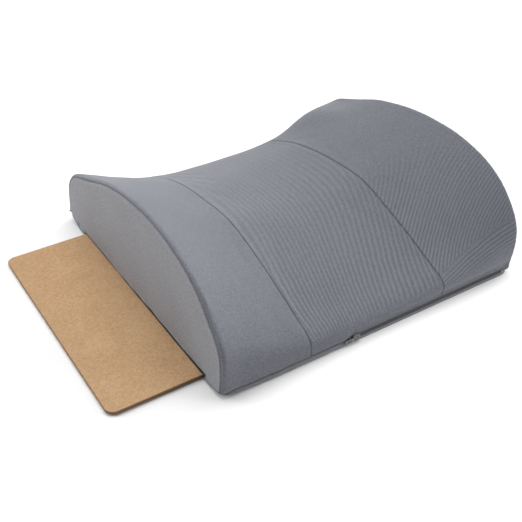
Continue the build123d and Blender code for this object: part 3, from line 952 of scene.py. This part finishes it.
def make_pull():
    low, high = PULL_LOW, PULL_HIGH
    mid_z = (low[2] + high[2]) / 2
    pivot_x = (SLIDER_LOW[0] + SLIDER_HIGH[0]) / 2
    outline = round_rect(low[0], high[0], low[2], high[2], (2.0, 0.8, 0.8, 2.0))
    corners = (0.7, 0.35, 0.35, 0.7)
    window = round_rect(pivot_x - 3.85, pivot_x - 0.45, mid_z - 1.3, mid_z + 1.3, corners, 5)
    grip = round_rect(pivot_x - 12.0, pivot_x - 7.0, mid_z - 0.8, mid_z + 0.8, (0.79,) * 4, 6)
    obj = flat_part("zipper_pull_tab", [outline, window[::-1], grip[::-1]], low[1], high[1], 0.2)
    for p in obj.data.polygons:
        p.use_smooth = True
    sharpen(obj, 40)
    return dress(obj, "pull", "zipper_pull")


slider, pull = make_slider(), make_pull()


def make_label():
    low, high = box_mm("care_label")
    x, y = np.linspace(low[0], high[0], 40), np.linspace(low[1], high[1], 12)
    gx, gy = np.meshgrid(x, y, indexing="ij")
    gz = low[2] + 0.12 + 0.12 * (1 + waves(gx, gy, 14, 8)) / 2
    obj = make_sheet("care_label_ribbon", gx, gy, gz, 0.2)
    return dress(obj, "cushion", "care_label")


label = make_label()


# -------- materials
class Surface:
    """A Principled material and short ways to build its nodes."""

    def __init__(self, name, **constants):
        self.material = bpy.data.materials.new(name)
        self.material.use_nodes = True
        self.tree = self.material.node_tree
        self.shader = self.tree.nodes["Principled BSDF"]
        for key, value in constants.items():
            self.shader.inputs[key.replace("_", " ")].default_value = value
        self.place = self.node("ShaderNodeTexCoord").outputs["Object"]

    def node(self, kind, inputs=None, **settings):
        node = self.tree.nodes.new(kind)
        for key, value in settings.items():
            setattr(node, key, value)
        for key, value in (inputs or {}).items():
            self.give(node.inputs[key], value)
        return node

    def give(self, socket, value):
        if isinstance(value, bpy.types.NodeSocket):
            self.tree.links.new(value, socket)
        else:
            socket.default_value = value

    def math(self, operation, *values, clamp=False):
        node = self.node("ShaderNodeMath", operation=operation, use_clamp=clamp)
        for socket, value in zip(node.inputs, (*values, 0.0, 0.0)):
            self.give(socket, value)
        return node.outputs[0]

    def add(self, a, b):
        return self.math("ADD", a, b)

    def mul(self, a, b):
        return self.math("MULTIPLY", a, b)

    def line(self, a, factor, b, clamp=False):
        """a * factor + b"""
        return self.math("MULTIPLY_ADD", a, factor, b, clamp=clamp)

    def sine(self, a, per_unit):
        return self.math("SINE", self.mul(a, per_unit))

    def axes(self, vector):
        return self.node("ShaderNodeSeparateXYZ", {"Vector": vector}).outputs

    def cloth_uv(self):
        return self.node("ShaderNodeUVMap", uv_map="cloth").outputs["UV"]

    def attribute(self, name):
        return self.node("ShaderNodeAttribute", attribute_name=name).outputs["Fac"]

    def noise(self, scale, detail=3.0, rough=0.55, vector=None):
        inputs = {"Scale": scale, "Detail": detail, "Roughness": rough}
        inputs["Vector"] = self.place if vector is None else vector
        return self.node("ShaderNodeTexNoise", inputs).outputs["Fac"]

    def cells(self, scale):
        inputs = {"Vector": self.place, "Scale": scale}
        return self.node("ShaderNodeTexVoronoi", inputs).outputs["Distance"]

    def ramp(self, fac, *stops):
        node = self.node("ShaderNodeValToRGB", {"Fac": fac})
        ramp = node.color_ramp
        while len(ramp.elements) < len(stops):
            ramp.elements.new(0.5)
        for element, (place, colour) in zip(ramp.elements, stops):
            element.position = place
            element.color = (*colour, 1)
        return node.outputs["Color"]

    def tones(self, fac, colour, *stops):
        """One colour, darker and lighter by the factors at the stops."""
        return self.ramp(fac, *((place, shade(colour, factor)) for place, factor in stops))

    def mix(self, fac, a, colour):
        node = self.node("ShaderNodeMix", data_type="RGBA")
        self.give(node.inputs["Factor"], fac)
        self.give(node.inputs[6], a)
        self.give(node.inputs[7], (*colour, 1))
        return node.outputs[2]

    def finish(self, colour, rough, height, distance, strength):
        inputs = {"Height": height, "Distance": distance, "Strength": strength}
        bump = self.node("ShaderNodeBump", inputs).outputs["Normal"]
        for key, value in (("Base Color", colour), ("Roughness", rough), ("Normal", bump)):
            self.give(self.shader.inputs[key], value)
        return self.material


def shade(colour, factor):
    return tuple(c * factor for c in colour)


def knit(name, colour, wale=1.05, course=0.8, relief=0.16, ribs=0.0, sheen=0.25):
    """Knitted cover cloth on the piece's own cloth UVs, which are in metres."""
    s = Surface(name, Sheen_Weight=sheen, Sheen_Roughness=0.45, Specular_IOR_Level=0.25)
    uv = s.cloth_uv()
    sway = s.line(s.noise(160.0, 2.0, vector=uv), 0.0005, -0.00025)
    u, v = (s.add(s.axes(uv)[axis], sway) for axis in "XY")
    ridge = s.math("ABSOLUTE", s.sine(u, math.pi / (wale * MM)))
    slope = s.line(ridge, math.pi, s.mul(v, 2 * math.pi / (course * MM)))
    loops = s.line(s.math("SINE", slope), 0.5, 0.5)
    weave = s.mul(s.line(loops, 0.55, 0.45), ridge)
    fuzz = s.noise(900.0, 3.0, 0.65)
    broad = s.noise(14.0, 3.0, 0.5)
    lint = s.noise(240.0, 4.0, 0.7)
    grain = s.noise(520.0, 2.0, 0.6)
    height = s.line(fuzz, 0.5, weave)
    tone = s.line(weave, 0.3, s.line(fuzz, 1.3, -0.62))
    tone = s.add(tone, s.line(grain, 1.9, -0.95))
    tone = s.add(tone, s.line(broad, 0.2, 0.12))
    if ribs:
        patch = s.line(s.noise(90.0, 2.0, vector=uv), 1.2, 0.35, clamp=True)
        wobble = s.line(s.noise(70.0, 2.0, vector=uv), 0.5, s.attribute("rib_phase"))
        wave = s.mul(s.mul(s.sine(wobble, 2 * math.pi), s.attribute("rib_clear")), patch)
        tone = s.line(wave, ribs, tone)
        height = s.line(wave, 0.45, height)
    gap = s.attribute("seam_gap")
    # painted shade: within about a millimetre of each seam the cloth is darkened towards a quarter
    # of its colour, for the shade in the seam's groove
    painted_seam_shade = s.math("SUBTRACT", 1.0, s.math("DIVIDE", gap, 1.1), clamp=True)
    # painted highlight: the cloth's colour is lightened where it stands proud beside a seam, as if
    # it caught the light there
    beside = s.math("ABSOLUTE", s.math("DIVIDE", s.math("SUBTRACT", gap, 3.6), 2.4))
    tone = s.add(tone, s.mul(s.math("SUBTRACT", 1.0, beside, clamp=True), 0.12))
    base = s.tones(tone, colour, (0.0, 0.8), (0.42, 1.0), (1.0, 1.2))
    base = s.mix(s.mul(painted_seam_shade, 0.62), base, shade(colour, 0.25))
    base = s.mix(s.mul(s.math("GREATER_THAN", lint, 0.69), 0.12), base, shade(colour, 1.5))
    return s.finish(base, s.line(fuzz, 0.14, 0.80), height, relief * MM, 0.9)


def plain_weave(name, colour, pitch=0.9, rough_low=0.8):
    """A plain woven cloth on the piece's cloth UVs."""
    s = Surface(name, Sheen_Weight=0.1, Specular_IOR_Level=0.25)
    uv = s.axes(s.cloth_uv())
    warp, weft = (s.sine(uv[axis], math.pi / (pitch * MM)) for axis in "XY")
    cross = s.line(s.mul(warp, weft), 0.5, 0.5)
    fuzz = s.noise(1100.0, 3.0, 0.65)
    tone = s.add(s.mul(cross, 0.35), s.mul(s.add(fuzz, s.noise(18.0, 3.0, 0.5)), 0.3))
    base = s.tones(tone, colour, (0.0, 0.8), (0.5, 1.0), (1.0, 1.2))
    return s.finish(base, s.line(fuzz, 0.12, rough_low), s.add(cross, fuzz), 0.1 * MM, 0.8)


def hardboard():
    s = Surface("hardboard", Specular_IOR_Level=0.35)
    chips = s.noise(520.0, 5.0, 0.75)
    fine = s.noise(1700.0, 2.0, 0.6)
    tone = s.add(s.mul(chips, 0.70), s.mul(s.noise(24.0, 4.0, 0.6), 0.22))
    base = s.ramp(
        tone, (0.18, BOARD_DARK), (0.40, BOARD_MID), (0.54, BOARD_LIGHT), (0.78, BOARD_PALE)
    )
    flecks = s.mul(s.math("GREATER_THAN", s.cells(620.0), 0.66), 0.10)
    base = s.mix(flecks, base, shade(BOARD_DARK, 0.45))
    fray = s.math("MULTIPLY", s.attribute("edge"), s.line(fine, 0.5, 0.62), clamp=True)
    base = s.mix(fray, base, BOARD_EDGE)
    height = s.add(s.mul(chips, 0.7), s.mul(fine, 0.5))
    return s.finish(base, s.line(chips, 0.25, 0.50), height, 0.12 * MM, 0.8)


def foam_cells():
    s = Surface("open_cell_foam", Specular_IOR_Level=0.2)
    cells = s.cells(900.0)
    tone = s.line(s.noise(25.0), 0.5, s.mul(cells, 0.8))
    base = s.ramp(
        tone, (0.1, (0.42, 0.36, 0.20)), (0.5, (0.72, 0.66, 0.42)), (0.9, (0.82, 0.77, 0.55))
    )
    return s.finish(base, s.line(cells, 0.1, 0.85), cells, 0.5 * MM, 0.9)


def twisted_thread(colour):
    s = Surface("sewing_thread", Sheen_Weight=0.2, Specular_IOR_Level=0.4)
    twist = {"Vector": s.place, "Scale": 900.0, "Distortion": 1.5}
    ply = s.node("ShaderNodeTexWave", twist, bands_direction="DIAGONAL").outputs["Fac"]
    base = s.tones(ply, colour, (0.0, 0.6), (1.0, 1.3))
    return s.finish(base, s.line(ply, 0.15, 0.6), ply, 0.08 * MM, 0.7)


def coil_plastic(colour):
    s = Surface("nylon_coil", Specular_IOR_Level=0.5)
    haze = s.noise(700.0, 3.0)
    base = s.tones(haze, colour, (0.3, 0.8), (0.7, 1.15))
    return s.finish(base, s.line(haze, 0.2, 0.32), haze, 0.03 * MM, 0.5)


def enamel(colour):
    """Enamelled metal, rubbed thin in scattered patches."""
    s = Surface("zipper_enamel", Specular_IOR_Level=0.6)
    scuff = s.noise(380.0, 5.0, 0.7)
    base = s.tones(scuff, colour, (0.35, 0.85), (0.55, 1.0), (0.72, 1.5))
    return s.finish(base, s.line(scuff, 0.3, 0.22), s.noise(1400.0, 4.0, 0.6), 0.02 * MM, 0.5)


def tape_weave(colour):
    """Woven zipper tape, patterned by place because the CAD mesh has no cloth UVs."""
    s = Surface("zipper_tape_weave", Sheen_Weight=0.1, Specular_IOR_Level=0.25)
    place = s.axes(s.place)
    threads = math.pi / (0.55 * MM)
    warp, weft = s.sine(place["X"], threads), s.sine(s.add(place["Z"], place["Y"]), threads)
    cross = s.line(s.mul(warp, weft), 0.5, 0.5)
    base = s.tones(cross, colour, (0.0, 0.7), (1.0, 1.2))
    return s.finish(base, s.line(cross, 0.1, 0.8), cross, 0.1 * MM, 0.8)


def paint(meshes, material):
    for mesh in meshes:
        mesh.materials.clear()
        mesh.materials.append(material)


COVER = (0.176, 0.183, 0.211)
SIDE = (0.236, 0.241, 0.262)
BOARD_DARK = (0.244, 0.125, 0.054)
BOARD_MID = (0.489, 0.302, 0.156)
BOARD_LIGHT = (0.582, 0.374, 0.208)
BOARD_PALE = (0.666, 0.447, 0.270)
BOARD_EDGE = (0.13, 0.072, 0.038)

tapes = [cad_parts[f"zipper_{side}_tape"].data for side in ("upper", "lower")]
stops = [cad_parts[f"zipper_{end}_stop"].data for end in ("top", "bottom")]
for pieces, material in (
    ([left_wing], knit("cover_knit", COVER)),
    ([centre, right_wing], knit("cover_knit_ribbed", COVER, ribs=0.46)),
    ([left_side, right_side], knit("side_knit", SIDE, 0.8, 0.7, relief=0.12, sheen=0.2)),
    ([back], plain_weave("back_weave", (0.235, 0.24, 0.26))),
    # the lining's near-black colour, where its edge shows at the mouth, is painted shadow for the
    # dark gap under the side panel
    ([pocket], plain_weave("lining_weave_and_painted_shadow", (0.045, 0.045, 0.05), pitch=0.6)),
    ([foam], foam_cells()),
    ([board], hardboard()),
    ([label], plain_weave("label_satin", (0.78, 0.78, 0.76), pitch=0.4, rough_low=0.45)),
    (threads, twisted_thread((0.10, 0.102, 0.115))),
    (coils, coil_plastic((0.20, 0.204, 0.22))),
):
    paint([piece.data for piece in pieces], material)
paint([slider.data, pull.data, *stops], enamel((0.19, 0.195, 0.21)))
paint(tapes, tape_weave((0.19, 0.193, 0.21)))


# -------- floor, light, camera
def make_floor():
    mesh = bpy.data.meshes.new("floor")
    corners = [(9.0 * x, 9.0 * y, 0) for x, y in ((-1, -1), (1, -1), (1, 1), (-1, 1))]
    mesh.from_pydata(corners, [], [(0, 1, 2, 3)])
    s = Surface("studio_floor", Specular_IOR_Level=0.2)
    base = s.ramp(s.noise(3.0), (0.3, (0.97,) * 3), (0.7, (0.98,) * 3))
    rough = s.line(s.noise(40.0), 0.1, 0.8)
    mesh.materials.append(s.finish(base, rough, s.noise(60.0), 0.1 * MM, 0.2))
    add_object("floor", mesh)


def area_light(name, place, target, size, power):
    light = bpy.data.lights.new(name, "AREA")
    light.size, light.energy = size, power
    obj = add_object(name, light)
    obj.location = place
    obj.rotation_mode = "QUATERNION"
    obj.rotation_quaternion = (Vector(target) - Vector(place)).to_track_quat("-Z", "Y")


make_floor()
area_light("low_from_right", (2.2, 0.3, 0.7), (0, 0, 0.05), 1.4, 52)
area_light("overhead", (0.0, 0.4, 2.4), (0, 0, 0.05), 2.4, 54)
area_light("from_left", (-1.9, 0.9, 1.2), (-0.1, 0, 0.05), 1.3, 16)
area_light("low_from_left", (-1.35, 0.95, 0.5), (-0.1, 0, 0.05), 0.8, 8.3)
area_light("near_right", (1.0, -0.85, 0.6), (0.1, 0, 0.03), 0.7, 6.9)

world = bpy.data.worlds.new("studio")
world.use_nodes = True
background = world.node_tree.nodes["Background"].inputs
background["Color"].default_value = (1, 1, 1, 1)
background["Strength"].default_value = 0.06
bpy.context.scene.world = world
bpy.context.scene.view_settings.view_transform = "Standard"
bpy.context.scene.view_settings.look = "None"


def make_camera():
    yaw, pitch, roll = (math.radians(a) for a in (-31.6037, 33.6447, 0.3590))
    level = Vector((math.cos(yaw), math.sin(yaw), 0))
    flat = math.cos(pitch)
    back_way = Vector((math.sin(yaw) * flat, -math.cos(yaw) * flat, math.sin(pitch)))
    up = back_way.cross(level)
    right = math.cos(roll) * level + math.sin(roll) * up
    up = -math.sin(roll) * level + math.cos(roll) * up
    data = bpy.data.cameras.new("camera")
    data.sensor_width = 36
    data.lens = 57.532
    data.shift_x, data.shift_y = 0.0850, -0.0990
    camera = add_object("camera", data)
    turn = Matrix((right, up, back_way)).transposed().to_4x4()
    camera.matrix_world = Matrix.Translation((-0.4506, -0.5985, 0.5418)) @ turn
    bpy.context.scene.camera = camera


make_camera()
